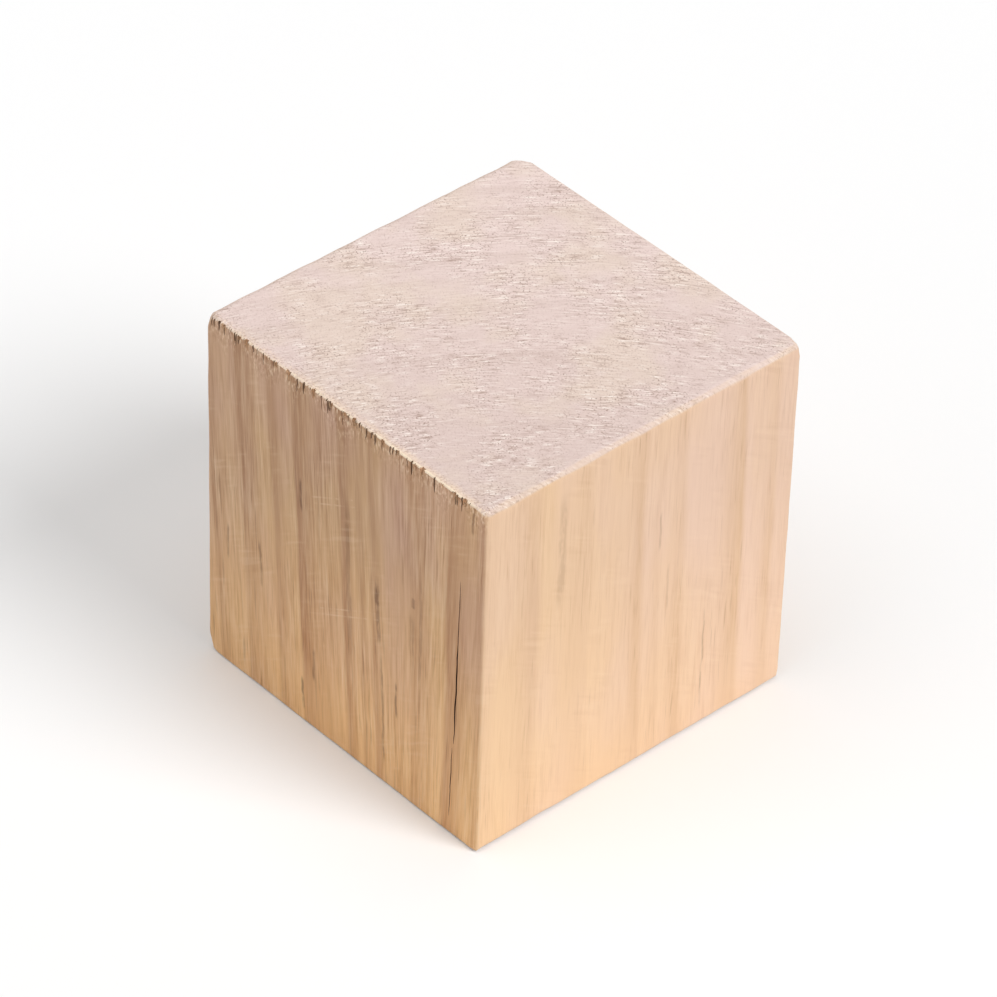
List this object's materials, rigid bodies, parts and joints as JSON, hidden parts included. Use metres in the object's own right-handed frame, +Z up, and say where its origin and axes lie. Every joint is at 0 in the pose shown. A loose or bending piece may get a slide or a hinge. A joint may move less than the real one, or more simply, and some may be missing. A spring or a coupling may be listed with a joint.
{
  "type": "wooden cube",
  "caption": "Near-cubic block of bare softwood, sawn across the grain at both ends, with eased arrises, worn corners and a torn top arris. Stands on a sawn end.",
  "frame": {"origin": "middle of the sawn end that the block stands on", "axes": "+Z up along the grain, -Y out of the front face whose top arris is torn, +X out of the right face"},
  "size_m": [0.049, 0.049, 0.051],
  "materials": {
    "pine": "bare pine, planed and lightly sanded along the grain, sawn across it"
  },
  "bodies": {
    "root": {"wooden_cube": "pine"}
  },
  "joints": []
}
